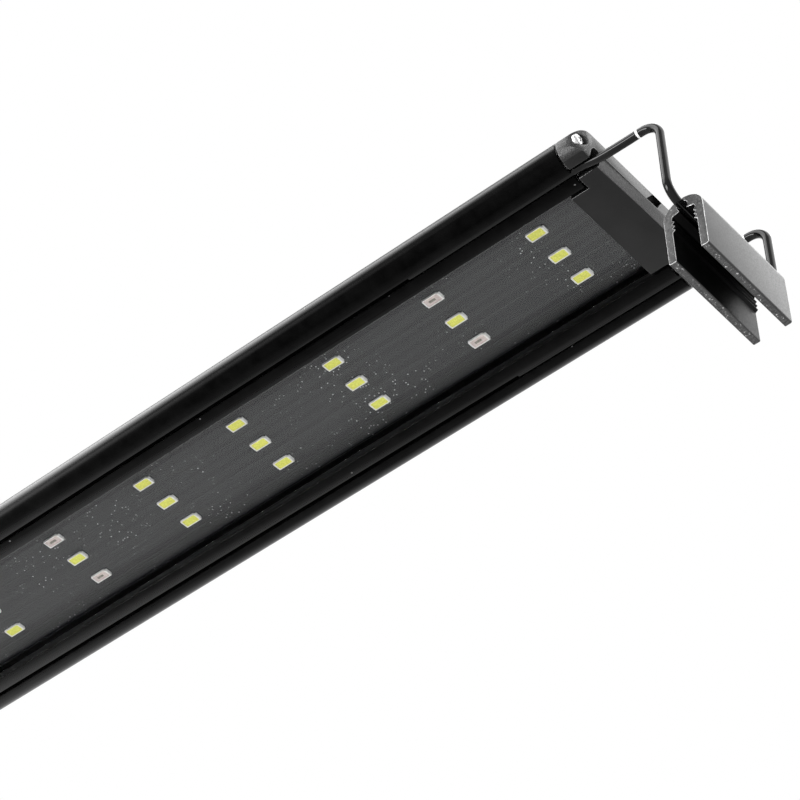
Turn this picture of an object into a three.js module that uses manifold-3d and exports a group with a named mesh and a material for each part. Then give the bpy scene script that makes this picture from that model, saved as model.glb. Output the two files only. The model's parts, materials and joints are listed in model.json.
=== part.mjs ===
// A slim LED light that bridges an aquarium: an extruded rail with a clear cover over a board of LEDs, an
// end cap at each end, and at each end a sliding wire bracket that carries a clip for the rim of the tank.
// Frame: X along the rail, Y across it, +Z up with the LEDs facing down. The origin is midway between the
// two clips, level with their lower edges. Sizes are in millimetres.
import * as THREE from "three";
import { mergeVertices } from "three/addons/utils/BufferGeometryUtils.js";
import Module from "manifold-3d";

const wasm = await Module();
wasm.setup();

// ---- driving dimensions ----

// The LEDs: rows along the rail, three across, and the height of the plane of their faces.
const rows = 11;
const rowPitch = 33.3;
const columnPitch = 9.3;
const ledPlane = 48.6;
const ledLength = 5.7;
const ledWidth = 2.9;
const ledHeight = 0.6;
const ledCorner = 0.7;
const lastRow = ((rows - 1) / 2) * rowPitch;

// Every fourth row, from the second, has a coloured LED at each side.
const colourEvery = 4;
const firstColourRow = 2;

// The rail's section: half-round long edges, a recess for the board and cover, a wire channel each side.
const halfWidth = 28.9;
const edgeRadius = 4.2;
const edgeY = halfWidth - edgeRadius;
const edgeZ = ledPlane - 0.86;
const railTop = edgeZ + edgeRadius;
const railBottom = edgeZ - edgeRadius;
const recessHalf = 17.25;
const grooveHalf = 19;
const coverGroove = [ledPlane - 2.7, ledPlane - 0.35];
const boardGroove = [ledPlane + 0.45, ledPlane + 1.95];
const railEnd = lastRow + 20.5;

// The board and the cover, which slide into their grooves.
const boardSurface = ledPlane + 0.7;
const boardThickness = 1.05;
const boardInset = 0.3;
const coverFace = ledPlane - 2.5;
const coverThickness = 1.9;
const sheetHalf = 18.7;

// The parts soldered to the board besides the LEDs: length, width, height, and the solder under them.
const resistorSize = [3, 1.6, 0.5];
const terminalSize = [3.2, 4.2, 0.9];
const solderGap = 0.1;
const partsInset = 2.2;

// The end caps: inner face, end face, the tongue over the cover and the rounded corners.
const capInner = lastRow + 21.1;
const capEnd = lastRow + 28.2;
const capCornerRadius = 6;
const capTopRadius = 0.6;
const tongueStart = lastRow + 15.7;
const tongueHalf = 16.2;
const tongueGap = 0.3;

// The lower part of a cap's end leans inwards. From the notch it sinks gradually towards the front channel.
const leanRun = 1;
const leanRise = 3.4;
const leanTop = railBottom + leanRise;
const bandDepth = 0.4;
const bandEnd = -1.7;

// The notch in the right cap's end, its outline in (y, z), and the pocket for wiring in both caps.
const notchDepth = 2.2;
const notchTop = railTop - 0.4;
const notchOutline = [[-1.9, ledPlane - 1.5], [2.6, ledPlane - 1.1], [5.1, notchTop], [1.4, notchTop]];
const pocketDepth = 4;
const pocketHalf = 15;
const pocketTop = ledPlane + 1.8;

// The cord's grommet: a flange outside the cap, a neck through its end wall and a bore for the cord.
const grommetZ = ledPlane + 0.2;
const grommetNeck = 2;
const grommetFlange = 3;
const grommetRim = 2.3;
const grommetBore = 1.5;
const grommetHoleRadius = 2.3;
const grommetInset = 1;
const flangeGap = 0.3;
const flangeThickness = 1.4;
const flangeStraight = 0.84;

// The gasket between rail and cap: a flat ring round the end of the board and cover.
const gasketHalf = 20;
const gasketBottom = ledPlane - 2.46;
const gasketTop = railTop - 0.6;
const gasketWindowHalf = 15;
const gasketWindow = [ledPlane - 2.1, ledPlane + 1.6];
const gasketGap = 0.15;

// The wire bracket: leg positions, bend radii and the height of its cross run.
const wireRadius = 1.15;
const legY = 22.05;
const legZ = ledPlane - 3.65;
const channelRadius = 1.35;
const slotHalf = 0.65;
const capChannelRadius = 1.8;
const capChannelRise = 0.6;
const legInner = lastRow - 31;
const dropX = lastRow + 46.4;
const topBend = 5;
const lowBend = 4.2;
const wireSides = 16;

// Outside the rail the legs sag to this height, through these points in (x, z).
const sagZ = ledPlane - 5.3;
const sag = [
  [lastRow + 22.6, legZ],
  [lastRow + 24.4, ledPlane - 3.85],
  [lastRow + 26.6, ledPlane - 4.4],
  [lastRow + 28.6, ledPlane - 4.85],
  [lastRow + 30.6, ledPlane - 5.08],
  [lastRow + 33.5, ledPlane - 5.2],
];

// The clip: an extrusion open downwards, with a socket for the wire's cross run.
const clipHalfLength = 16.7;
const clipHalfWidth = 5.6;
const clipHeight = 19.6;
const clipArchRise = 5;
const clipInnerHalf = 3.5;
const clipFootRadius = 0.5;
const clipFootInnerRadius = 0.3;
const socketZ = 17;
const socketRadius = 1.45;
const mouthHalf = 1.05;
const mouthZ = 15.7;
const lipZ = 15.2;
const lipHalf = 3.1;
const teeth = 3;
const toothPitch = 1.4;
const toothDepth = 0.75;
const toothTopZ = 14.1;
const toothStep = 0.1;
const toothFlat = [0.45, 0.6];

// The cap screws, on an axis inside each rounded edge of the rail.
const screwY = 26.7;
const screwZ = ledPlane - 0.55;
const shankRadius = 1.15;
const screwHoleRadius = 1.4;
const headRadius = 1.8;
const headHeight = 1.3;
const headSeat = lastRow + 25.5;
const headGap = 0.15;
const counterboreRadius = 1.95;
const screwLength = 10;
const screwPoint = 1.6;
const recessDepth = 0.7;
const recessHalfLength = 0.95;
const recessHalfWidth = 0.25;

// ---- geometry helpers ----

const Y_UP_Z = new THREE.Matrix4().makeBasis(
  new THREE.Vector3(0, 1, 0), new THREE.Vector3(0, 0, 1), new THREE.Vector3(1, 0, 0));
const X_UP_Z = new THREE.Matrix4().makeBasis(
  new THREE.Vector3(1, 0, 0), new THREE.Vector3(0, 0, 1), new THREE.Vector3(0, -1, 0));

function extrude(shape, depth, curveSegments = 10) {
  return new THREE.ExtrudeGeometry(shape, { depth, bevelEnabled: false, curveSegments });
}

// A section drawn in (y, z), extruded along X from x0 to x1.
function alongX(shape, x0, x1, curveSegments) {
  return extrude(shape, x1 - x0, curveSegments).applyMatrix4(Y_UP_Z).translate(x0, 0, 0);
}

// A section drawn in (x, z), extruded along Y from y0 to y1.
function alongY(shape, y0, y1, curveSegments) {
  return extrude(shape, y1 - y0, curveSegments).applyMatrix4(X_UP_Z).translate(0, y1, 0);
}

// An outline drawn in (x, y), extruded up from z0 to z1.
function alongZ(shape, z0, z1, curveSegments) {
  return extrude(shape, z1 - z0, curveSegments).translate(0, 0, z0);
}

function box([x0, x1], [y0, y1], [z0, z1]) {
  return new THREE.BoxGeometry(x1 - x0, y1 - y0, z1 - z0)
    .translate((x0 + x1) / 2, (y0 + y1) / 2, (z0 + z1) / 2);
}

function cylinderX(radius, [x0, x1], y, z, sides = 20) {
  return new THREE.CylinderGeometry(radius, radius, x1 - x0, sides)
    .rotateZ(-Math.PI / 2).translate((x0 + x1) / 2, y, z);
}

function polygon(points) {
  return new THREE.Shape(points.map(([a, b]) => new THREE.Vector2(a, b)));
}

// Points of an arc about (cx, cy), angles in degrees, both ends included.
function arc(cx, cy, radius, from, to, steps) {
  return Array.from({ length: steps + 1 }, (_, i) => {
    const angle = THREE.MathUtils.degToRad(from + ((to - from) * i) / steps);
    return [cx + radius * Math.cos(angle), cy + radius * Math.sin(angle)];
  });
}

// A half outline, from the centre line round to the centre line again, joined to its mirror image. It
// leaves out the centre points of straight edges.
function mirrored(half) {
  const offCentre = half.filter(([a]) => Math.abs(a) > 1e-6);
  return polygon([...half, ...offCentre.map(([a, b]) => [-a, b]).reverse()]);
}

function toSolid(geometry) {
  const bare = geometry.clone();
  bare.deleteAttribute("normal");
  bare.deleteAttribute("uv");
  const merged = mergeVertices(bare, 1e-4);
  return new wasm.Manifold(new wasm.Mesh({
    numProp: 3,
    vertProperties: merged.attributes.position.array,
    triVerts: new Uint32Array(merged.index.array),
  }));
}

function toGeometry(solid) {
  const mesh = solid.getMesh();
  const geometry = new THREE.BufferGeometry();
  geometry.setAttribute("position", new THREE.BufferAttribute(mesh.vertProperties, 3));
  geometry.setIndex(new THREE.BufferAttribute(mesh.triVerts, 1));
  return geometry;
}

function common(first, ...others) {
  return others.reduce((solid, other) => solid.intersect(toSolid(other)), toSolid(first));
}

function cut(solid, tools) {
  return tools.reduce((left, tool) => left.subtract(toSolid(tool)), solid);
}

// Both sides of the rail: -1 is the front (-Y), +1 is the back (+Y).
const sides = [["front", -1], ["back", 1]];

// ---- the rail and what it holds ----

function railSection() {
  const slotAngle = THREE.MathUtils.radToDeg(Math.acos(slotHalf / channelRadius));
  return mirrored([
    ...arc(edgeY, edgeZ, edgeRadius, 90, -90, 28),
    [legY + slotHalf, railBottom],
    ...arc(legY, legZ, channelRadius, -slotAngle, 180 + slotAngle, 20),
    [legY - slotHalf, railBottom],
    [recessHalf, railBottom],
    [recessHalf, coverGroove[0]],
    [grooveHalf, coverGroove[0]],
    [grooveHalf, coverGroove[1]],
    [recessHalf, coverGroove[1]],
    [recessHalf, boardGroove[0]],
    [grooveHalf, boardGroove[0]],
    [grooveHalf, boardGroove[1]],
  ]);
}

// The rail, with a screw port from end to end in each rounded edge.
function housing() {
  const ports = sides.map(([, side]) =>
    cylinderX(screwHoleRadius, [-railEnd - 1, railEnd + 1], side * screwY, screwZ));
  return toGeometry(cut(toSolid(alongX(railSection(), -railEnd, railEnd)), ports));
}

function board() {
  const end = railEnd - boardInset;
  return box([-end, end], [-sheetHalf, sheetHalf], [boardSurface, boardSurface + boardThickness]);
}

function cover() {
  return box([-railEnd, railEnd], [-sheetHalf, sheetHalf], [coverFace, coverFace + coverThickness]);
}

// An LED package with the cut corner that marks its polarity.
function led(x, y) {
  const [a, b] = [ledLength / 2, ledWidth / 2];
  const outline = polygon([[-a, -b], [a - ledCorner, -b], [a, ledCorner - b], [a, b], [-a, b]]);
  return alongZ(outline, ledPlane, ledPlane + ledHeight).translate(x, y, 0);
}

// A surface-mount part soldered to the board's lower face.
function boardPart(x, y, [length, width, height]) {
  const top = boardSurface - solderGap;
  return box([x - length / 2, x + length / 2], [y - width / 2, y + width / 2], [top - height, top]);
}

// ---- the end caps, drawn for the right end ----

function capBody() {
  const section = mirrored(arc(edgeY, edgeZ, edgeRadius, 90, -90, 28));
  const profile = polygon([
    [capInner, railBottom],
    [capEnd - leanRun, railBottom],
    [capEnd, leanTop],
    ...arc(capEnd - capTopRadius, railTop - capTopRadius, capTopRadius, 0, 90, 6),
    [capInner, railTop],
  ]);
  const corner = capCornerRadius;
  const plan = polygon([
    [capInner, -halfWidth - 1],
    [capEnd - corner, -halfWidth],
    ...arc(capEnd - corner, corner - halfWidth, corner, -90, 0, 12),
    ...arc(capEnd - corner, halfWidth - corner, corner, 0, 90, 12),
    [capInner, halfWidth + 1],
  ]);
  return common(
    alongX(section, capInner, capEnd),
    alongY(profile, -halfWidth - 1, halfWidth + 1),
    alongZ(plan, railBottom - 1, railTop + 1));
}

function wireChannel(side) {
  const walls = polygon([
    [side * legY - capChannelRadius, railBottom - 1],
    [side * legY + capChannelRadius, railBottom - 1],
    ...arc(side * legY, legZ + capChannelRise, capChannelRadius, 0, 180, 16),
  ]);
  return alongX(walls, capInner - 1, capEnd + 1);
}

// The counterbore for a screw head and its clearance hole. The cap's rounded corner opens the counterbore.
function screwPocket(side) {
  return [
    cylinderX(counterboreRadius, [headSeat, capEnd + 1], side * screwY, screwZ, 28),
    cylinderX(screwHoleRadius, [capInner - 1, headSeat + 1], side * screwY, screwZ),
  ];
}

// The sunk band: the leaning face, turned a little about the vertical at the band's end by the notch.
function sunkBand() {
  const start = capChannelRadius - legY;
  const turn = -Math.asin(bandDepth / (bandEnd - start));
  const below = leanRun / leanRise;
  const face = polygon([[1, leanTop], [0, leanTop], [-leanRun - below, railBottom - 1], [1, railBottom - 1]]);
  return alongY(face, start - bandEnd, 0).rotateZ(turn).translate(capEnd, bandEnd, 0);
}

function endCap(extraCuts) {
  const tongue = box([tongueStart, capInner + 1], [-tongueHalf, tongueHalf],
    [railBottom, coverFace - tongueGap]);
  const wiringPocket = box([capInner - 1, capInner + pocketDepth], [-pocketHalf, pocketHalf],
    [coverFace, pocketTop]);
  const solid = capBody().add(toSolid(tongue));
  return toGeometry(cut(solid, [
    wiringPocket,
    sunkBand(),
    ...sides.flatMap(([, side]) => [wireChannel(side), ...screwPocket(side)]),
    ...extraCuts,
  ]));
}

const notch = alongX(polygon(notchOutline), capEnd - notchDepth, capEnd + 1);

const grommetHole = cylinderX(grommetHoleRadius, [capInner, capEnd + 1], 0, grommetZ);

function grommet() {
  const inner = capInner + pocketDepth - grommetInset;
  const outer = capEnd + flangeGap;
  const profile = [
    [grommetBore, inner],
    [grommetNeck, inner],
    [grommetNeck, outer],
    [grommetFlange, outer],
    [grommetFlange, outer + flangeStraight],
    [grommetRim, outer + flangeThickness],
    [grommetBore, outer + flangeThickness],
    [grommetBore, inner],
  ];
  const lathe = new THREE.LatheGeometry(profile.map(([r, h]) => new THREE.Vector2(r, h)), 32);
  return lathe.rotateZ(-Math.PI / 2).translate(0, 0, grommetZ);
}

function gasket() {
  const corners = (half, [low, high]) => [[-half, low], [half, low], [half, high], [-half, high]];
  const ring = polygon(corners(gasketHalf, [gasketBottom, gasketTop]));
  const window = corners(gasketWindowHalf, gasketWindow).reverse();
  ring.holes.push(new THREE.Path(window.map(([y, z]) => new THREE.Vector2(y, z))));
  return alongX(ring, railEnd + gasketGap, capInner - gasketGap);
}

// A self-tapping screw with a domed head and a cross recess, its head towards +X.
function screw(side) {
  const base = headSeat + headGap;
  const crown = base + headHeight;
  const tip = base - screwLength;
  const profile = [
    [0, tip],
    [shankRadius * 0.5, tip],
    [shankRadius, tip + screwPoint],
    [shankRadius, base],
    [headRadius, base],
    [headRadius, base + headHeight * 0.45],
    [headRadius * 0.93, base + headHeight * 0.68],
    [headRadius * 0.75, base + headHeight * 0.88],
    [headRadius * 0.45, crown],
    [0, crown],
  ];
  const lathe = new THREE.LatheGeometry(profile.map(([r, h]) => new THREE.Vector2(r, h)), 28);
  const recess = [crown - recessDepth, crown + 1];
  const spans = [[recessHalfLength, recessHalfWidth], [recessHalfWidth, recessHalfLength]];
  const arms = spans.map(([y, z]) => box(recess, [-y, y], [-z, z]));
  return toGeometry(cut(toSolid(lathe.rotateZ(-Math.PI / 2)), arms)).translate(0, side * screwY, screwZ);
}

// ---- the wire bracket, drawn for the right end ----

// A curve through given stations, so that the bends are stepped finely and the straights are not.
class StationCurve extends THREE.Curve {
  constructor(stations) {
    super();
    this.stations = stations;
  }

  getSpacedPoints() {
    return this.stations;
  }

  getTangentAt(u, target = new THREE.Vector3()) {
    const last = this.stations.length - 1;
    const i = Math.round(u * last);
    const before = this.stations[Math.max(i - 1, 0)];
    const after = this.stations[Math.min(i + 1, last)];
    return target.subVectors(after, before).normalize();
  }
}

// The bracket's centre line: leg, sag, bend, drop, bend, half of the cross run, then the same mirrored.
function bracketStations() {
  const half = [
    new THREE.Vector3(legInner, -legY, legZ),
    new THREE.Vector3((legInner + railEnd) / 2, -legY, legZ),
    ...[...sag, ...arc(dropX - topBend, sagZ - topBend, topBend, 90, 0, 10)]
      .map(([x, z]) => new THREE.Vector3(x, -legY, z)),
    ...arc(lowBend - legY, socketZ + lowBend, lowBend, 180, 270, 12)
      .map(([y, z]) => new THREE.Vector3(dropX, y, z)),
  ];
  return [...half, ...half.map((p) => new THREE.Vector3(p.x, -p.y, p.z)).reverse()];
}

function bracket() {
  const stations = bracketStations();
  const section = new THREE.Shape();
  section.absarc(0, 0, wireRadius, 0, 2 * Math.PI, false);
  return new THREE.ExtrudeGeometry(section, {
    steps: stations.length - 1,
    curveSegments: wireSides / 2,
    extrudePath: new StationCurve(stations),
  });
}

// ---- the clip, drawn about the wire at the right end ----

function clipSection() {
  const archZ = clipHeight - clipArchRise;
  const arch = arc(0, 0, 1, 84, 0, 20).map(([y, z]) => [clipHalfWidth * y, archZ + clipArchRise * z]);
  const mouthAngle = THREE.MathUtils.radToDeg(Math.acos(mouthHalf / socketRadius));
  const serrations = Array.from({ length: teeth }, (_, i) => {
    const top = toothTopZ - i * toothPitch;
    return [
      [clipInnerHalf - toothStep, top],
      [clipInnerHalf - toothDepth, top - toothPitch * toothFlat[0]],
      [clipInnerHalf - toothDepth, top - toothPitch * toothFlat[1]],
    ];
  }).flat();
  const [outer, inner] = [clipFootRadius, clipFootInnerRadius];
  return mirrored([
    [0, clipHeight],
    ...arch,
    ...arc(clipHalfWidth - outer, outer, outer, 0, -90, 4),
    ...arc(clipInnerHalf + inner, inner, inner, -90, -180, 4),
    [clipInnerHalf, toothTopZ - teeth * toothPitch],
    ...serrations.reverse(),
    [lipHalf, lipZ],
    [mouthHalf, mouthZ],
    ...arc(0, socketZ, socketRadius, -mouthAngle, 90, 16),
  ]);
}

function clip() {
  return alongY(clipSection(), -clipHalfLength, clipHalfLength).translate(dropX, 0, 0);
}

// ---- materials ----

const paint = (color, roughness, metalness = 0) =>
  new THREE.MeshStandardMaterial({ color, roughness, metalness });

const anodised = paint(0x101011, 0.45, 0.6);
const clipMetal = paint(0x2a2a2c, 0.4, 0.7);
const capPlastic = paint(0x262627, 0.6);
const clear = new THREE.MeshStandardMaterial({ color: 0xd8dcdc, roughness: 0.05, transparent: true,
  opacity: 0.3 });
const boardBlack = paint(0x1b1c1c, 0.5);
const whiteLed = paint(0xd6d45a, 0.4);
const colourLed = paint(0xc9b9b0, 0.3);
const wireBlack = paint(0x0a0a0a, 0.15, 0.5);
const steel = paint(0xc8c8c8, 0.2, 1);
const rubber = paint(0x151515, 0.8);
const ceramic = paint(0x202022, 0.5);
const solder = paint(0xb8b8b4, 0.3, 0.9);

// ---- assembly ----

const light = new THREE.Group();

function add(group, name, geometry, material) {
  const mesh = new THREE.Mesh(geometry, material);
  mesh.name = name;
  group.add(mesh);
}

add(light, "housing", housing(), anodised);
add(light, "led_board", board(), boardBlack);
add(light, "clear_cover", cover(), clear);

// Rows are numbered from the right end.
const columns = [["front", -1], ["middle", 0], ["back", 1]];
for (let row = 1; row <= rows; row += 1) {
  for (const [column, across] of columns) {
    const name = `led_row${String(row).padStart(2, "0")}_${column}`;
    const coloured = row % colourEvery === firstColourRow && across !== 0;
    const place = led(lastRow - (row - 1) * rowPitch, across * columnPitch);
    add(light, name, place, coloured ? colourLed : whiteLed);
  }
}

// The supply terminal and one resistor for each line of LEDs, at the board's left end over the cap's tongue.
const partsX = -(tongueStart + partsInset);
for (const [column, across] of columns) {
  add(light, `resistor_${column}`, boardPart(partsX, across * columnPitch, resistorSize), ceramic);
}
add(light, "board_terminal", boardPart(partsX, columnPitch / 2, terminalSize), solder);

// Each end is drawn at the right. The left end is the same turned half a turn about Z.
const ends = [["right", 0, [notch]], ["left", Math.PI, [grommetHole]]];
for (const [end, turn, capCuts] of ends) {
  const group = new THREE.Group();
  group.rotation.z = turn;
  light.add(group);
  add(group, `${end}_end_cap`, endCap(capCuts), capPlastic);
  add(group, `${end}_gasket`, gasket(), rubber);
  for (const [name, side] of sides) {
    const outward = turn === 0 ? side : -side;
    add(group, `${end}_${name}_screw`, screw(outward), steel);
  }
  add(group, `${end}_bracket`, bracket(), wireBlack);
  add(group, `${end}_clip`, clip(), clipMetal);
  if (end === "left") add(group, "cord_grommet", grommet(), rubber);
}

export default light;
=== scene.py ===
"""The LED aquarium light as it looks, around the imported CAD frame.

Camera, lights and floor come first, then the materials, the pieces and their assembly.
"""

import json
import math

import bmesh
import bpy
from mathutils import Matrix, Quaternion, Vector


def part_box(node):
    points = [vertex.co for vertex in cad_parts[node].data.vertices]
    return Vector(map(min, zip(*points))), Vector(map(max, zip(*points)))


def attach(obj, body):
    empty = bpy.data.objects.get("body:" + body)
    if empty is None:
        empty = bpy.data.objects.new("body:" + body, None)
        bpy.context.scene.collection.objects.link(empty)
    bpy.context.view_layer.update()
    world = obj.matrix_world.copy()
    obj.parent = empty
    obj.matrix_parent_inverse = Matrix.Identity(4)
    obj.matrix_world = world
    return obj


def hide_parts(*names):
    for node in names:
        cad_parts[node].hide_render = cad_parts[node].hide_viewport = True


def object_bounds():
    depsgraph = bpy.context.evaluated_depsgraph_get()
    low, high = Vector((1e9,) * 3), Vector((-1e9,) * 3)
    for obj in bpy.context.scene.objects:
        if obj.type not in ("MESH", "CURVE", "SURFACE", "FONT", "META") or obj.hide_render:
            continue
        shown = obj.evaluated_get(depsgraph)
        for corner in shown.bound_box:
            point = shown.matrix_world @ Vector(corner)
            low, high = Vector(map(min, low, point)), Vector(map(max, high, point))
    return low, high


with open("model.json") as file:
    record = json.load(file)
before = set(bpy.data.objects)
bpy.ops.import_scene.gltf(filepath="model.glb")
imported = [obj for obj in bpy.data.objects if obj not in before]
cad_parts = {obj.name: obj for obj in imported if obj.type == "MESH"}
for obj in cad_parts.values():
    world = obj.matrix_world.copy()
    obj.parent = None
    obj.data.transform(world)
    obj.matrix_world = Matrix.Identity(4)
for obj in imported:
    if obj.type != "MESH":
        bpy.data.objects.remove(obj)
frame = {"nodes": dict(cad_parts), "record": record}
cad_low, cad_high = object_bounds()

MM = 0.001
SCENE = bpy.context.scene
NODES = frame["nodes"]
SLOT_OF = {part["node"]: part["material_slot"] for part in frame["record"]["subparts"]}


# ---- camera, lights and floor ----

LENS_MM = 138.77
SENSOR_MM = 36.0
NEAREST_SEEN, FARTHEST_SEEN = 0.01, 100.0
CAMERA_AT = Vector((0.44858, -0.42521, -0.53016))
CAMERA_LOOKS_AT = Vector((-0.04144, 0.19749, 0.29426))
CAMERA_ROLL = math.radians(-2.287)

# The point that the softboxes face, part of the way to the right end.
LIGHT_AIM = Vector((cad_high.x * 0.6, 0, cad_high.z * 0.5))

# The softboxes: name, direction they stand in, distance and side in metres, and radiance.
SOFTBOXES = (
    ("end_softbox", (0.45, 0.51, 0.73), 6.0, 10.0, 2.3),
    ("front_softbox", (-0.45, -0.85, -0.28), 6.0, 4.5, 19.0),
    ("high_softbox", (-0.45, -0.55, 0.7), 6.0, 5.0, 4.5),
)
WORLD_STRENGTH = 1.0
FLOOR_HEIGHT = -1.5
FLOOR_HALF = 15.0
FLOOR_GREY = 0.55
FLOOR_ROUGHNESS = 0.9


def grey(level):
    return (level, level, level)


def make_camera():
    """A long lens below the light's right end, looking up and along it."""
    data = bpy.data.cameras.new("camera")
    data.lens = LENS_MM
    data.sensor_width = SENSOR_MM
    data.clip_start, data.clip_end = NEAREST_SEEN, FARTHEST_SEEN
    camera = bpy.data.objects.new("camera", data)
    SCENE.collection.objects.link(camera)
    camera.location = CAMERA_AT
    camera.rotation_mode = "QUATERNION"
    aim = (CAMERA_LOOKS_AT - CAMERA_AT).to_track_quat("-Z", "Y")
    camera.rotation_quaternion = aim @ Quaternion((0, 0, 1), CAMERA_ROLL)
    SCENE.camera = camera


def make_softbox(name, direction, distance, size, radiance):
    """A square area light that faces LIGHT_AIM from a direction, unseen by the camera."""
    data = bpy.data.lights.new(name, "AREA")
    data.shape = "SQUARE"
    data.size = size
    data.energy = radiance * math.pi * size * size
    light = bpy.data.objects.new(name, data)
    SCENE.collection.objects.link(light)
    light.location = LIGHT_AIM + Vector(direction).normalized() * distance
    light.rotation_mode = "QUATERNION"
    light.rotation_quaternion = (LIGHT_AIM - light.location).to_track_quat("-Z", "Y")
    light.visible_camera = False


def make_world():
    world = bpy.data.worlds.new("studio")
    world.use_nodes = True
    background = world.node_tree.nodes["Background"]
    background.inputs["Color"].default_value = (1, 1, 1, 1)
    background.inputs["Strength"].default_value = WORLD_STRENGTH
    SCENE.world = world


def make_floor():
    """A plain pale floor, far below."""
    mesh = bpy.data.meshes.new("floor")
    signs = ((-1, -1), (1, -1), (1, 1), (-1, 1))
    corners = [(sx * FLOOR_HALF, sy * FLOOR_HALF, FLOOR_HEIGHT) for sx, sy in signs]
    mesh.from_pydata(corners, [], [(0, 1, 2, 3)])
    floor = bpy.data.objects.new("floor", mesh)
    SCENE.collection.objects.link(floor)
    material = bpy.data.materials.new("floor_paint")
    material.use_nodes = True
    shader = material.node_tree.nodes["Principled BSDF"]
    shader.inputs["Base Color"].default_value = (*grey(FLOOR_GREY), 1)
    shader.inputs["Roughness"].default_value = FLOOR_ROUGHNESS
    mesh.materials.append(material)


make_camera()
make_world()
make_floor()
for softbox in SOFTBOXES:
    make_softbox(*softbox)
SCENE.view_settings.view_transform = "Standard"


# ---- node material helpers ----

# The places of the colour sockets in a Mix node, where several sockets share a name.
MIX_FACTOR, MIX_A, MIX_B, MIX_RESULT = 0, 6, 7, 2


class Nodes:
    """A material's node tree, with short calls to add and link nodes."""

    def __init__(self, name):
        self.material = bpy.data.materials.new(name)
        self.material.use_nodes = True
        self.tree = self.material.node_tree
        self.shader = self.tree.nodes["Principled BSDF"]
        self.output = self.tree.nodes["Material Output"]
        self.position = self.add("ShaderNodeTexCoord").outputs["Object"]

    def add(self, kind, **settings):
        node = self.tree.nodes.new(kind)
        for key, value in settings.items():
            setattr(node, key, value)
        return node

    def link(self, out, socket):
        self.tree.links.new(out, socket)

    def set(self, **values):
        for key, value in values.items():
            self.shader.inputs[key.replace("_", " ")].default_value = value

    def mapped(self, scale):
        """The position in the part's frame, scaled per axis."""
        node = self.add("ShaderNodeMapping")
        node.inputs["Scale"].default_value = scale
        self.link(self.position, node.inputs["Vector"])
        return node.outputs["Vector"]

    def noise(self, scale, detail, roughness=0.55, vector=None):
        node = self.add("ShaderNodeTexNoise")
        node.inputs["Scale"].default_value = scale
        node.inputs["Detail"].default_value = detail
        node.inputs["Roughness"].default_value = roughness
        self.link(vector or self.position, node.inputs["Vector"])
        return node.outputs["Fac"]

    def ramp(self, value, stops):
        """A grey ramp; stops are (position, level)."""
        node = self.add("ShaderNodeValToRGB")
        elements = node.color_ramp.elements
        while len(elements) < len(stops):
            elements.new(0.5)
        for element, (place, level) in zip(elements, stops):
            element.position = place
            element.color = (*grey(level), 1)
        self.link(value, node.inputs["Fac"])
        return node.outputs["Color"]

    def math(self, operation, a, b):
        node = self.add("ShaderNodeMath", operation=operation)
        for socket, value in zip(node.inputs, (a, b)):
            if isinstance(value, (int, float)):
                socket.default_value = value
            else:
                self.link(value, socket)
        return node.outputs["Value"]

    def mix(self, factor, a, b):
        """Colour a where factor is 0, colour b where it is 1."""
        node = self.add("ShaderNodeMix", data_type="RGBA")
        for place, value in ((MIX_FACTOR, factor), (MIX_A, a), (MIX_B, b)):
            if isinstance(value, tuple):
                node.inputs[place].default_value = (*value, 1)
            else:
                self.link(value, node.inputs[place])
        return node.outputs[MIX_RESULT]

    def specks(self, scale, amount, size=0.12):
        """A sparse scatter of round specks: 1 inside a speck and 0 elsewhere."""
        cells = self.add("ShaderNodeTexVoronoi")
        cells.inputs["Scale"].default_value = scale
        self.link(self.position, cells.inputs["Vector"])
        near = self.math("LESS_THAN", cells.outputs["Distance"], size)
        chosen = self.add("ShaderNodeSeparateColor")
        self.link(cells.outputs["Color"], chosen.inputs["Color"])
        return self.math("MULTIPLY", near, self.math("LESS_THAN", chosen.outputs["Red"], amount))

    def facing(self):
        """0 where the surface is seen square on, towards 1 where it is seen edge on."""
        node = self.add("ShaderNodeLayerWeight")
        node.inputs["Blend"].default_value = 0.5
        return node.outputs["Facing"]

    def colour(self, value):
        self.link(value, self.shader.inputs["Base Color"])

    def roughness(self, value):
        self.link(value, self.shader.inputs["Roughness"])

    def bump(self, height, strength, distance):
        node = self.add("ShaderNodeBump")
        node.inputs["Strength"].default_value = strength
        node.inputs["Distance"].default_value = distance
        self.link(height, node.inputs["Height"])
        self.link(node.outputs["Normal"], self.shader.inputs["Normal"])


# ---- materials ----

# How far an anodised surface's roughness strays to each side of its middle.
ROUGHNESS_SPREAD = 0.07


def anodised(name, dark, light, roughness, gloss, dust):
    """Black anodised aluminium: die lines along X, a faint mottle and a few specks of dust.

    gloss holds (facing, level) stops, from a surface seen square on to one seen edge on.
    """
    n = Nodes(name)
    lines = n.noise(1.0, 3, 0.6, n.mapped((6, 2600, 2600)))
    mottle = n.noise(260, 5)
    tone = n.mix(n.ramp(mottle, [(0.35, 0.0), (0.7, 1.0)]), grey(dark), grey(light))
    n.colour(n.mix(n.specks(420, dust), tone, grey(0.1)))
    smoothest, roughest = roughness - ROUGHNESS_SPREAD, roughness + ROUGHNESS_SPREAD
    n.roughness(n.ramp(lines, [(0.3, smoothest), (0.7, roughest)]))
    relief = n.math("ADD", lines, n.math("MULTIPLY", n.noise(2200, 2), 0.6))
    n.bump(relief, 0.12, 0.02 * MM)
    n.link(n.ramp(n.facing(), gloss), n.shader.inputs["Specular IOR Level"])
    return n.material


def painted_edge_highlight():
    """A bright metallic colour like bare aluminium, which is a painted highlight along the clip's edges.
    """
    n = Nodes("painted_edge_highlight")
    highlight_grain = n.noise(900, 4, 0.65)
    n.colour(n.ramp(highlight_grain, [(0.3, 0.12), (0.65, 0.55)]))
    n.roughness(n.ramp(highlight_grain, [(0.3, 0.5), (0.7, 0.3)]))
    n.set(Metallic=0.8)
    return n.material


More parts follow.
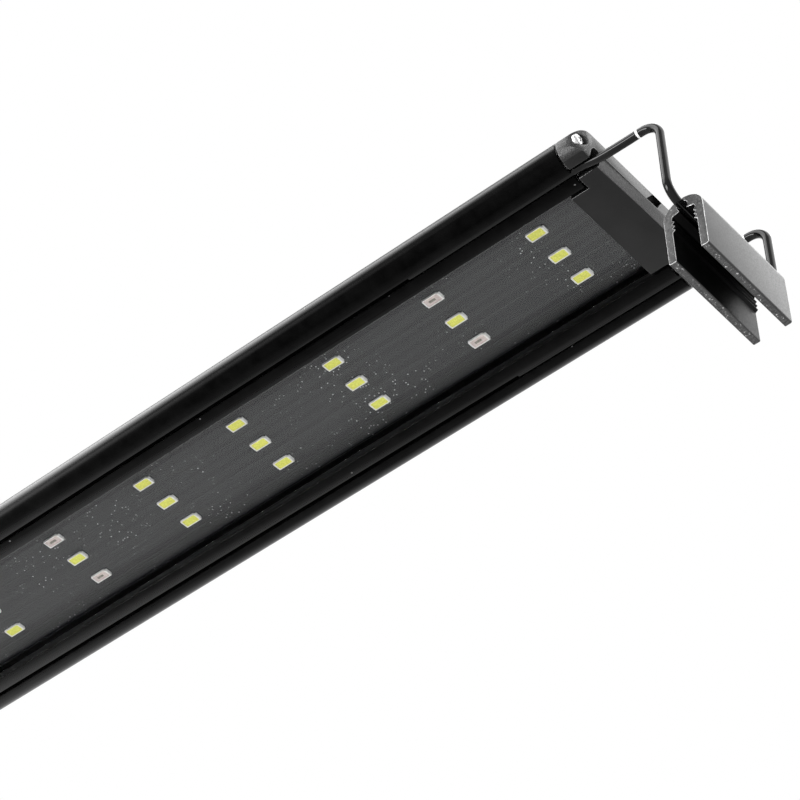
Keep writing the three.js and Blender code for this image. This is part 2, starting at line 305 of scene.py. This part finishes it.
def sawn_end(name, dark, light, chips):
    """A sawn face: rough, with short strokes of the blade and bright chips."""
    n = Nodes(name)
    strokes = n.noise(1.0, 5, 0.7, n.mapped((900, 2500, 700)))
    grains = n.noise(1500, 3, 0.7)
    tone = n.ramp(strokes, [(0.3, dark), (0.72, light)])
    bright = n.math("MULTIPLY", n.ramp(grains, [(0.6, 0.0), (0.7, 1.0)]), chips)
    n.colour(n.mix(bright, tone, grey(0.75)))
    n.roughness(n.ramp(grains, [(0.3, 0.7), (0.7, 0.4)]))
    n.bump(n.math("ADD", strokes, grains), 0.6, 0.08 * MM)
    n.set(Metallic=0.1, Specular_IOR_Level=0.3)
    return n.material


def cap_plastic(name, relief, specular, smooth=0.0):
    """Black moulded plastic with a spark-eroded texture; smooth takes that much off its roughness."""
    n = Nodes(name)
    grain = n.noise(2600, 3, 0.6)
    cloud = n.noise(120, 3)
    n.colour(n.mix(n.ramp(cloud, [(0.3, 0.0), (0.7, 1.0)]), grey(0.004), grey(0.007)))
    n.roughness(n.ramp(grain, [(0.3, 0.3 - smooth), (0.7, 0.42 - smooth)]))
    n.bump(grain, relief, 0.1 * MM)
    n.set(Specular_IOR_Level=specular)
    return n.material


def wire_coating():
    """Gloss black coating on wire, slightly orange-peeled."""
    n = Nodes("wire_coating")
    peel = n.noise(700, 2)
    n.colour(n.mix(n.ramp(peel, [(0.35, 0.0), (0.65, 1.0)]), grey(0.0015), grey(0.003)))
    n.roughness(n.ramp(peel, [(0.3, 0.06), (0.7, 0.1)]))
    n.bump(peel, 0.08, 0.05 * MM)
    n.set(Specular_IOR_Level=0.16)
    return n.material


def leg_white_band():
    """The white band round each leg of the wire."""
    n = Nodes("leg_white_band")
    n.colour(n.ramp(n.noise(1500, 2), [(0.3, 0.62), (0.7, 0.72)]))
    n.set(Roughness=0.4)
    return n.material


# What the acrylic reflects: the share seen square on, and the share that grows towards grazing angles.
SQUARE_ON_SHARE = 0.008
GRAZING_SHARE = 0.9
GRAZING_POWER = 5.0


def acrylic():
    """Clear acrylic: see-through, with hairline scuffs and a gloss that grows towards grazing angles."""
    n = Nodes("acrylic")
    clear = n.add("ShaderNodeBsdfTransparent")
    clear.inputs["Color"].default_value = (0.985, 0.99, 0.99, 1)
    gloss = n.add("ShaderNodeBsdfGlossy")
    gloss.inputs["Color"].default_value = (1, 1, 1, 1)
    scuffs = n.noise(1.0, 4, 0.7, n.mapped((40, 900, 900)))
    n.link(n.ramp(scuffs, [(0.4, 0.05), (0.75, 0.09)]), gloss.inputs["Roughness"])
    grazing = n.math("POWER", n.facing(), GRAZING_POWER)
    reflected = n.math("ADD", n.math("MULTIPLY", grazing, GRAZING_SHARE), SQUARE_ON_SHARE)
    both = n.add("ShaderNodeMixShader")
    n.link(reflected, both.inputs["Fac"])
    n.link(clear.outputs["BSDF"], both.inputs[1])
    n.link(gloss.outputs["BSDF"], both.inputs[2])
    n.link(both.outputs["Shader"], n.output.inputs["Surface"])
    n.tree.nodes.remove(n.shader)
    return n.material


# The mask's gloss, and the duller strip along each side of the board: its distance from the centre
# line, its half width and how much gloss it loses.
MASK_SPECULAR = 0.33
STRIP_Y = 12.2 * MM
STRIP_HALF = 1.0 * MM
STRIP_LOSS = 0.11


def solder_mask():
    """The board's black solder mask: faint relief of the copper, dust in patches, two duller strips."""
    n = Nodes("solder_mask")
    weave = n.noise(3000, 2, 0.5)
    copper = n.noise(1.0, 1, 0.4, n.mapped((4, 520, 1)))
    over_copper = n.ramp(copper, [(0.45, 0.0), (0.55, 1.0)])
    tone = n.mix(over_copper, (0.010, 0.010, 0.0105), (0.016, 0.016, 0.0165))
    dusty = n.ramp(n.noise(45, 3), [(0.48, 0.0), (0.6, 1.0)])
    dust = n.math("MULTIPLY", n.specks(1300, 0.22, 0.24), dusty)
    n.colour(n.mix(dust, tone, grey(0.32)))
    n.roughness(n.ramp(weave, [(0.3, 0.34), (0.7, 0.38)]))
    n.bump(copper, 0.1, 0.02 * MM)
    across = n.add("ShaderNodeSeparateXYZ")
    n.link(n.position, across.inputs["Vector"])
    from_strip = n.math("SUBTRACT", n.math("ABSOLUTE", across.outputs["Y"], 0.0), STRIP_Y)
    on_strip = n.math("LESS_THAN", n.math("ABSOLUTE", from_strip, 0.0), STRIP_HALF)
    level = n.math("SUBTRACT", MASK_SPECULAR, n.math("MULTIPLY", on_strip, STRIP_LOSS))
    n.link(level, n.shader.inputs["Specular IOR Level"])
    return n.material


def trace_mask():
    """Solder mask over a copper trace."""
    n = Nodes("trace_mask")
    n.colour(n.ramp(n.noise(1100, 3), [(0.35, 0.012), (0.7, 0.02)]))
    n.set(Roughness=0.36, Specular_IOR_Level=0.38)
    return n.material


def grained(name, low, high, roughness, scale=1400, **values):
    """A plain material whose colour wavers between two tones at a fine scale."""
    n = Nodes(name)
    grain = n.noise(scale, 3)
    n.colour(n.mix(n.ramp(grain, [(0.3, 0.0), (0.7, 1.0)]), low, high))
    n.bump(grain, 0.2, 0.02 * MM)
    n.set(Roughness=roughness, **values)
    return n.material


# Gloss by how the surface is seen, as stops for anodised.
RAIL_GLOSS = [(0.1, 0.0), (0.27, 0.045), (0.5, 0.34), (0.9, 0.6)]
CLIP_GLOSS = [(0.0, 0.3), (1.0, 0.3)]
CLIP_SHADED_INSIDE_GLOSS = [(0.0, 0.05), (1.0, 0.05)]

RAIL = anodised("rail_anodised", 0.0015, 0.003, 0.3, RAIL_GLOSS, 0.02)
CLIP = anodised("clip_anodised", 0.018, 0.024, 0.42, CLIP_GLOSS, 0.0)
# A darker, duller copy of the clip's anodising for the faces inside its slot: painted shade.
CLIP_SHADED_INSIDE = anodised("clip_inside_painted_shade", 0.002, 0.004, 0.4, CLIP_SHADED_INSIDE_GLOSS, 0.0)
# Bright metal colour on the clip's bevels: a painted highlight along its edges.
EDGE_HIGHLIGHT = painted_edge_highlight()
SAWN = sawn_end("sawn_end", 0.008, 0.036, 0.12)
SAWN_FOOT = sawn_end("sawn_foot", 0.006, 0.09, 1.0)
PLASTIC = cap_plastic("cap_plastic", 0.12, 0.16)
PLASTIC_END = cap_plastic("cap_plastic_end", 1.0, 0.3)
PLASTIC_EDGE = cap_plastic("cap_plastic_edge", 0.1, 0.8, 0.12)
WIRE = wire_coating()
MARK = leg_white_band()
ACRYLIC = acrylic()
MASK = solder_mask()
TRACE = trace_mask()
PACKAGE = grained("led_package", (0.52, 0.50, 0.49), (0.68, 0.67, 0.65), 0.45)
PHOSPHOR = grained("led_phosphor", (0.44, 0.45, 0.04), (0.68, 0.67, 0.11), 0.5, 2600)
RESIN = grained("led_resin", (0.40, 0.33, 0.31), (0.54, 0.46, 0.43), 0.15)
DIE = grained("led_die", (0.10, 0.09, 0.07), (0.2, 0.18, 0.15), 0.3)
TIN = grained("tinned_lead", grey(0.5), grey(0.72), 0.3, Metallic=0.9)
STEEL = grained("screw_plating", grey(0.4), grey(0.6), 0.32, Metallic=1.0)
RUBBER = grained("rubber", grey(0.012), grey(0.02), 0.7)
CERAMIC = grained("ceramic", grey(0.012), grey(0.022), 0.45)


# ---- mesh helpers ----

# Above the first angle an edge is shaded sharp, and above the second it is bevelled.
SHARP = math.radians(32)
BEVELLED = math.radians(28)

# CAD points this close are one point, and CAD faces this nearly level with each other are one face.
SAME_POINT = 0.002 * MM
SAME_PLANE = math.radians(0.6)

KEEP_MATERIAL = -1
ABOVE_ALL = 1.0


def finish_piece(name, bm, materials, body, replaced=()):
    """Turns a bmesh into a piece that rides a body and stands for any CAD nodes given."""
    bmesh.ops.recalc_face_normals(bm, faces=bm.faces)
    mesh = bpy.data.meshes.new(name)
    bm.to_mesh(mesh)
    bm.free()
    for material in materials:
        mesh.materials.append(material)
    mesh.polygons.foreach_set("use_smooth", [True] * len(mesh.polygons))
    mesh.set_sharp_from_angle(angle=SHARP)
    piece = bpy.data.objects.new(name, mesh)
    SCENE.collection.objects.link(piece)
    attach(piece, body)
    if replaced:
        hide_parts(*replaced)


def body_of_node(node):
    bodies = frame["record"]["behaviour"]["bodies"]
    return next(body for body, names in bodies.items() if node in names)


def sharp_edges(bm, angle, below):
    """The edges sharper than an angle whose ends are both under a height."""
    return [e for e in bm.edges if len(e.link_faces) == 2 and e.calc_face_angle(0) > angle
            and max(v.co.z for v in e.verts) < below]


def cad_surface(node):
    """A copy of a CAD node's surface with its flat faces joined up."""
    bm = bmesh.new()
    bm.from_mesh(NODES[node].data)
    bmesh.ops.remove_doubles(bm, verts=bm.verts, dist=SAME_POINT)
    bmesh.ops.dissolve_limit(bm, angle_limit=SAME_PLANE, verts=bm.verts, edges=bm.edges)
    return bm


def round_edges(bm, width, segments=2, material=KEEP_MATERIAL, angle=BEVELLED, below=ABOVE_ALL,
                clamp=True):
    """Bevels the edges sharper than an angle that lie under a height."""
    bmesh.ops.bevel(bm, geom=sharp_edges(bm, angle, below), offset=width, segments=segments,
                    profile=0.5, affect="EDGES", clamp_overlap=clamp, material=material)


def add_box(bm, low, high, material=0, rounding=0.0):
    """An upright box between two corners, with its edges rounded."""
    made = bmesh.ops.create_cube(bm, size=1)
    for vert in made["verts"]:
        vert.co = Vector(low[i] + (vert.co[i] + 0.5) * (high[i] - low[i]) for i in range(3))
    faces = {face for vert in made["verts"] for face in vert.link_faces}
    for face in faces:
        face.material_index = material
    if rounding:
        edges = {edge for face in faces for edge in face.edges}
        bmesh.ops.bevel(bm, geom=list(edges), offset=rounding, segments=2, profile=0.5, affect="EDGES")


def rounded_outline(cx, cy, half_x, half_y, radius, steps=4):
    """A rectangle with round corners, as points going round."""
    points = []
    for corner, (sx, sy) in enumerate([(1, 1), (-1, 1), (-1, -1), (1, -1)]):
        for step in range(steps + 1):
            angle = math.pi / 2 * (corner + step / steps)
            points.append((cx + sx * (half_x - radius) + radius * math.cos(angle),
                           cy + sy * (half_y - radius) + radius * math.sin(angle)))
    return points


def add_band(bm, first, second):
    """Four-sided faces between two closed rings of points."""
    for i in range(len(first)):
        j = (i + 1) % len(first)
        bm.faces.new((first[i], first[j], second[j], second[i]))


def ring_edges(bm, ring):
    return [bm.edges.get((ring[i], ring[(i + 1) % len(ring)])) for i in range(len(ring))]


# ---- rail, cover and board ----

RAIL_BEVEL = 0.18 * MM
COVER_BEVEL = 0.25 * MM
BOARD_BEVEL = 0.08 * MM


def make_rail():
    bm = cad_surface("housing")
    round_edges(bm, RAIL_BEVEL)
    finish_piece("rail", bm, [RAIL], "lamp", ["housing"])


def make_cover():
    bm = cad_surface("clear_cover")
    round_edges(bm, COVER_BEVEL, 3)
    finish_piece("cover_sheet", bm, [ACRYLIC], "lamp", ["clear_cover"])


def make_board():
    bm = cad_surface("led_board")
    round_edges(bm, BOARD_BEVEL, 1)
    finish_piece("circuit_board", bm, [MASK], "lamp", ["led_board"])


TRACE_HEIGHT = 0.05 * MM
TRACE_WIDTH = 0.35 * MM
TRACE_MARGIN = 8 * MM
TRACE_LINES = [y * MM for y in (-14.2, -13.1, -4.9, 4.9, 13.1, 14.2)]


def make_traces():
    """Long copper lines under the mask: each side, one between the lines of LEDs and two outside."""
    low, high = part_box("led_board")
    bm = bmesh.new()
    x0, x1 = low.x + TRACE_MARGIN, high.x - TRACE_MARGIN
    for y in TRACE_LINES:
        add_box(bm, (x0, y - TRACE_WIDTH / 2, low.z - TRACE_HEIGHT), (x1, y + TRACE_WIDTH / 2, low.z))
    finish_piece("board_traces", bm, [TRACE], "lamp")


# ---- LEDs ----

FRAME_WALL = 0.22 * MM
PLUS_END_WALL = 0.5 * MM
CUP_DEPTH = 0.16 * MM
CUP_CORNER = 0.35 * MM
CUT_CORNER = 0.62 * MM

# The leads: how far they stand out of the package and reach into it, their share of its width, and
# their lower and upper edges below the board.
LEAD_LENGTH = 0.3 * MM
LEAD_INSIDE = 0.12 * MM
LEAD_SHARE = 0.72
LEAD_LOW, LEAD_HIGH = 0.3 * MM, 0.02 * MM
LEAD_ROUNDING = 0.04 * MM

# The die of a coloured LED: its ends from the middle, half its width, and how deep in the cup its face
# lies, as a share of the cup's depth.
DIE_X0, DIE_X1 = -1.3 * MM, 0.7 * MM
DIE_HALF_Y = 0.32 * MM
DIE_FACE_SHARE = 0.3

# Places in the list of an LED's materials, after the package's own.
LED_FILL, LED_LEAD, LED_DIE = 1, 2, 3


def make_led(node):
    """A surface-mount LED: a package with a cut corner, a filled cup, and a tinned lead at each end."""
    low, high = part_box(node)
    coloured = SLOT_OF[node] == "led_colour"
    cx, cy = (low.x + high.x) / 2, (low.y + high.y) / 2
    half_x, half_y = (high.x - low.x) / 2, (high.y - low.y) / 2
    face, base = low.z, high.z
    body_half = half_x - LEAD_LENGTH
    outer = [(cx - body_half, cy - half_y), (cx + body_half - CUT_CORNER, cy - half_y),
             (cx + body_half, cy - half_y + CUT_CORNER), (cx + body_half, cy + half_y),
             (cx - body_half, cy + half_y)]
    cup_x0, cup_x1 = cx - body_half + FRAME_WALL, cx + body_half - PLUS_END_WALL
    cup_x, cup_half_x = (cup_x0 + cup_x1) / 2, (cup_x1 - cup_x0) / 2
    cup = rounded_outline(cup_x, cy, cup_half_x, half_y - FRAME_WALL, CUP_CORNER)
    bm = bmesh.new()
    ring = [bm.verts.new((x, y, face)) for x, y in outer]
    back = [bm.verts.new((x, y, base)) for x, y in outer]
    lip = [bm.verts.new((x, y, face)) for x, y in cup]
    floor = [bm.verts.new((x, y, face + CUP_DEPTH)) for x, y in cup]
    bm.faces.new(back)
    add_band(bm, ring, back)
    add_band(bm, floor, lip)
    bmesh.ops.triangle_fill(bm, edges=ring_edges(bm, ring) + ring_edges(bm, lip), use_beauty=True)
    fill = bm.faces.new(floor)
    fill.material_index = LED_FILL
    bmesh.ops.poke(bm, faces=[fill], offset=0)
    lead_half_y = half_y * LEAD_SHARE
    for sign in (-1, 1):
        x0, x1 = sorted((cx + sign * (body_half - LEAD_INSIDE), cx + sign * half_x))
        add_box(bm, (x0, cy - lead_half_y, base - LEAD_LOW), (x1, cy + lead_half_y, base - LEAD_HIGH),
                LED_LEAD, LEAD_ROUNDING)
    if coloured:
        add_box(bm, (cx + DIE_X0, cy - DIE_HALF_Y, face + CUP_DEPTH * DIE_FACE_SHARE),
                (cx + DIE_X1, cy + DIE_HALF_Y, face + CUP_DEPTH), LED_DIE)
    materials = [PACKAGE, RESIN if coloured else PHOSPHOR, TIN, DIE]
    finish_piece("smd_" + node.removeprefix("led_"), bm, materials, "lamp", [node])


# ---- parts on the board ----

# A resistor: the share of its length in each tinned end, how much of that end the ceramic stays out
# of, how far its face lies back from the ends' faces, and the rounding of both.
END_SHARE = 0.17
CERAMIC_SETBACK = 0.8
CERAMIC_RECESS = 0.03 * MM
CERAMIC_ROUNDING = 0.04 * MM
END_ROUNDING = 0.08 * MM


def make_resistor(node):
    """A chip resistor: a ceramic body between two tinned ends."""
    low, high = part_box(node)
    bm = bmesh.new()
    end = (high.x - low.x) * END_SHARE
    setback = end * CERAMIC_SETBACK
    add_box(bm, (low.x + setback, low.y, low.z + CERAMIC_RECESS), (high.x - setback, high.y, high.z),
            rounding=CERAMIC_ROUNDING)
    for x0, x1 in ((low.x, low.x + end), (high.x - end, high.x)):
        add_box(bm, (x0, low.y, low.z), (x1, high.y, high.z), 1, END_ROUNDING)
    finish_piece("chip_" + node, bm, [CERAMIC, TIN], "lamp", [node])


# The solder terminal: its carrier's thickness and rounding, the room left at each side of a pad and
# between the pads, and each dome's base, share of the length and flat back.
CARRIER_THICK = 0.25 * MM
CARRIER_ROUNDING = 0.05 * MM
PAD_MARGIN = 0.25 * MM
PAD_GAP_HALF = 0.3 * MM
DOME_BASE = 0.2 * MM
DOME_SHARE = 0.42
DOME_BACK = 0.05 * MM


def make_terminal():
    """Two domed solder pads on a common carrier."""
    low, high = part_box("board_terminal")
    middle = (low.y + high.y) / 2
    bm = bmesh.new()
    add_box(bm, (low.x, low.y, high.z - CARRIER_THICK), (high.x, high.y, high.z), 1, CARRIER_ROUNDING)
    base = high.z - DOME_BASE
    for y0, y1 in ((low.y + PAD_MARGIN, middle - PAD_GAP_HALF),
                   (middle + PAD_GAP_HALF, high.y - PAD_MARGIN)):
        centre = Vector(((low.x + high.x) / 2, (y0 + y1) / 2, base))
        reach = Vector(((high.x - low.x) * DOME_SHARE, (y1 - y0) / 2, base - low.z))
        ball = bmesh.ops.create_uvsphere(bm, u_segments=20, v_segments=12, radius=1)
        for vert in ball["verts"]:
            vert.co = centre + Vector(vert.co[i] * reach[i] for i in range(3))
            vert.co.z = min(vert.co.z, high.z - DOME_BACK)
    finish_piece("solder_terminal", bm, [TIN, CERAMIC], "lamp", ["board_terminal"])


# ---- ends ----

# The cap's upper edge is already round, down to this depth.
CAP_TOP = 0.7 * MM
CAP_BEVEL = 0.12 * MM
CAP_BEVELLED = math.radians(35)

# The cap's edges shorter than this are closed up first, because they would spoil the bevel.
TINY_EDGE = 0.06 * MM

# Places in the list of a cap's materials, after the plain faces' own.
CAP_TEXTURED, CAP_EDGE = 1, 2


def is_textured(normal):
    """Whether a face of the cap with this normal is part of its leaning end, a corner or a side."""
    x, y = abs(normal.x), abs(normal.y)
    leaning = x > 0.25 and normal.z < -0.1 and y < 0.2
    corner = x > 0.3 and y > 0.15
    side = y > 0.45 and abs(normal.z) < 0.9
    return leaning or corner or side


def make_cap(node):
    """A moulded end cap, with bright bevels and a coarser texture round its outside."""
    bm = cad_surface(node)
    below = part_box(node)[1].z - CAP_TOP
    bmesh.ops.dissolve_degenerate(bm, dist=TINY_EDGE, edges=bm.edges)
    round_edges(bm, CAP_BEVEL, material=CAP_EDGE, angle=CAP_BEVELLED, below=below, clamp=False)
    for face in bm.faces:
        if face.material_index != CAP_EDGE and is_textured(face.normal):
            face.material_index = CAP_TEXTURED
    materials = [PLASTIC, PLASTIC_END, PLASTIC_EDGE]
    finish_piece(node + "_moulding", bm, materials, "lamp", [node])


def make_plain(node, name, material, rounding):
    """A small part whose CAD shape only needs its edges rounded."""
    bm = cad_surface(node)
    round_edges(bm, rounding)
    finish_piece(name, bm, [material], body_of_node(node), [node])


WIRE_RADIUS = 1.15 * MM
TOP_BEND = 5.0 * MM
LOW_BEND = 4.2 * MM
WIRE_SIDES = 28
MARK_FROM_DROP = 6.0 * MM
MARK_WIDTH = 0.55 * MM

# A face of a bracket this close to the legs' top belongs to a leg, and may be part of its mark.
LEG_BAND = 4 * WIRE_RADIUS

# The mark's place in the list of a bracket's materials, after the wire's own.
WIRE_MARK = 1

# Each tip's rounding: distance from the tip and share of the wire's radius.
TIP_ROUNDING = ((0.0, 0.72), (0.12 * MM, 0.9), (0.4 * MM, 1.0))

# How many steps the straight leg, each stretch of its sag and the two bends are made in.
LEG_STEPS = 8
SAG_STEPS = 4
TOP_BEND_STEPS = 14
LOW_BEND_STEPS = 18

# The sag of a leg outside the rail, in mm: distance back from the drop, and fall below the straight part.
LEG_SAG = (
    (23.8, 0.0), (22.0, 0.2), (19.8, 0.75), (17.8, 1.2), (15.8, 1.43), (12.9, 1.55), (9.0, 1.65),
)


def smooth_path(points, steps):
    """Catmull-Rom points through the given ones, straight at both ends."""
    path = []
    padded = [points[0] * 2 - points[1], *points, points[-1] * 2 - points[-2]]
    for a, b, c, d in zip(padded, padded[1:], padded[2:], padded[3:]):
        for k in range(steps):
            t = k / steps
            path.append(0.5 * (2 * b + (c - a) * t + (2 * a - 5 * b + 4 * c - d) * t ** 2
                               + (3 * b - a - 3 * c + d) * t ** 3))
    return path + [points[-1]]


def arc_points(centre, radius, axes, start, end, steps):
    """Points of an arc about a centre, in the plane of two unit axes; angles are in degrees."""
    a, b = axes
    angles = [math.radians(start + (end - start) * i / steps) for i in range(steps + 1)]
    return [centre + a * (radius * math.cos(t)) + b * (radius * math.sin(t)) for t in angles]


def bracket_stations(low, high, out):
    """The centre line, tip to tip, of a bracket that points out (+1 or -1 on X), and its mark's X."""
    leg_y, leg_z = high.y - WIRE_RADIUS, high.z - WIRE_RADIUS
    cross_z = low.z + WIRE_RADIUS
    tip = low.x if out > 0 else high.x
    drop = (high.x - WIRE_RADIUS) if out > 0 else (low.x + WIRE_RADIUS)
    along, up, across = Vector((out, 0, 0)), Vector((0, 0, 1)), Vector((0, 1, 0))
    sag = [Vector((drop - out * back * MM, -leg_y, leg_z - fall * MM)) for back, fall in LEG_SAG]
    start = sag[0].x
    half = [Vector((tip + out * inset, -leg_y, leg_z)) for inset, _ in TIP_ROUNDING]
    half += [Vector((tip + (start - tip) * k / LEG_STEPS, -leg_y, leg_z)) for k in range(1, LEG_STEPS)]
    half += smooth_path(sag, SAG_STEPS)
    end = sag[-1]
    mark = drop - out * MARK_FROM_DROP
    half += [Vector((mark + out * d, -leg_y, end.z)) for d in (-MARK_WIDTH / 2, MARK_WIDTH / 2)]
    half += arc_points(end + Vector((drop - out * TOP_BEND - end.x, 0, -TOP_BEND)), TOP_BEND,
                       (along, up), 90, 0, TOP_BEND_STEPS)
    half += arc_points(Vector((drop, LOW_BEND - leg_y, cross_z + LOW_BEND)), LOW_BEND,
                       (across, up), 180, 270, LOW_BEND_STEPS)
    mirrored = [Vector((p.x, -p.y, p.z)) for p in reversed(half)]
    return half + mirrored, mark


def sweep(bm, stations, radii, sides):
    """A round tube along stations with its ends closed, kept from twisting."""
    normal = Vector((0, 0, 1))
    turns = [2 * math.pi * k / sides for k in range(sides)]
    rings = []
    for i, place in enumerate(stations):
        before, after = stations[max(i - 1, 0)], stations[min(i + 1, len(stations) - 1)]
        tangent = (after - before).normalized()
        normal = (normal - tangent * normal.dot(tangent)).normalized()
        side = tangent.cross(normal)
        spokes = [normal * math.cos(t) + side * math.sin(t) for t in turns]
        rings.append([bm.verts.new(place + spoke * radii[i]) for spoke in spokes])
    for a, b in zip(rings, rings[1:]):
        add_band(bm, a, b)
    bm.faces.new(rings[0])
    bm.faces.new(list(reversed(rings[-1])))


def make_bracket(node, out):
    """A bent wire bracket, with the white mark on each leg."""
    low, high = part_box(node)
    stations, mark = bracket_stations(low, high, out)
    radii = [WIRE_RADIUS] * len(stations)
    for i, (_, share) in enumerate(TIP_ROUNDING):
        radii[i] = radii[-1 - i] = WIRE_RADIUS * share
    bm = bmesh.new()
    sweep(bm, stations, radii, WIRE_SIDES)
    for face in bm.faces:
        centre = face.calc_center_median()
        on_leg = centre.z > high.z - LEG_BAND
        if on_leg and abs(centre.x - mark) < MARK_WIDTH / 2:
            face.material_index = WIRE_MARK
    finish_piece(node + "_wire", bm, [WIRE, MARK], node, [node])


# The clip's slot, whose faces get a darker, duller copy of the anodising as painted shade: half its
# width, and the height of its roof.
CLIP_INNER_HALF = 3.52 * MM
CLIP_MOUTH_Z = 18.6 * MM
CLIP_BEVEL = 0.12 * MM
FOOT_TOP = 0.5 * MM

# Places in the list of a clip's materials, after the anodised faces' own.
# The slot's faces take the darker copy as painted shade, and the bevels take the bright edge colour as a
# painted highlight.
CLIP_EDGE_HIGHLIGHT, CLIP_SAWN, CLIP_FOOT, CLIP_SLOT_SHADE = 1, 2, 3, 4


def make_clip(node):
    """The extruded clip: anodised faces, edges with a painted highlight, sawn ends and feet, and a slot
    with painted shade.
    """
    low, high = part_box(node)
    middle = (low.x + high.x) / 2
    bm = cad_surface(node)
    # The bevels take the bright edge colour, which is a painted highlight.
    round_edges(bm, CLIP_BEVEL, material=CLIP_EDGE_HIGHLIGHT)
    for face in bm.faces:
        centre, normal = face.calc_center_median(), face.normal
        in_slot = abs(centre.x - middle) < CLIP_INNER_HALF and centre.z < CLIP_MOUTH_Z
        # Inside the slot, the darker copy of the anodising stands in as painted shade.
        if in_slot and abs(normal.y) < 0.3:
            face.material_index = CLIP_SLOT_SHADE
        elif face.material_index == CLIP_EDGE_HIGHLIGHT:
            continue
        elif abs(normal.y) > 0.99:
            face.material_index = CLIP_SAWN
        elif normal.z < -0.99 and centre.z < FOOT_TOP:
            face.material_index = CLIP_FOOT
    materials = [CLIP, EDGE_HIGHLIGHT, SAWN, SAWN_FOOT, CLIP_SHADED_INSIDE]
    finish_piece(node + "_extrusion", bm, materials, node, [node])


# ---- assembly ----

SCREW_BEVEL = 0.06 * MM
GASKET_BEVEL = 0.05 * MM
GROMMET_BEVEL = 0.12 * MM

make_rail()
make_cover()
make_board()
make_traces()
for node in sorted(NODES):
    if node.startswith("led_row"):
        make_led(node)
    elif node.startswith("resistor"):
        make_resistor(node)
    elif node.endswith("_screw"):
        make_plain(node, node + "_head", STEEL, SCREW_BEVEL)
    elif node.endswith("_gasket"):
        make_plain(node, node + "_strip", RUBBER, GASKET_BEVEL)
    elif node.endswith("_end_cap"):
        make_cap(node)
make_terminal()
make_plain("cord_grommet", "grommet", RUBBER, GROMMET_BEVEL)
for side, out in (("right", 1), ("left", -1)):
    make_bracket(side + "_bracket", out)
    make_clip(side + "_clip")
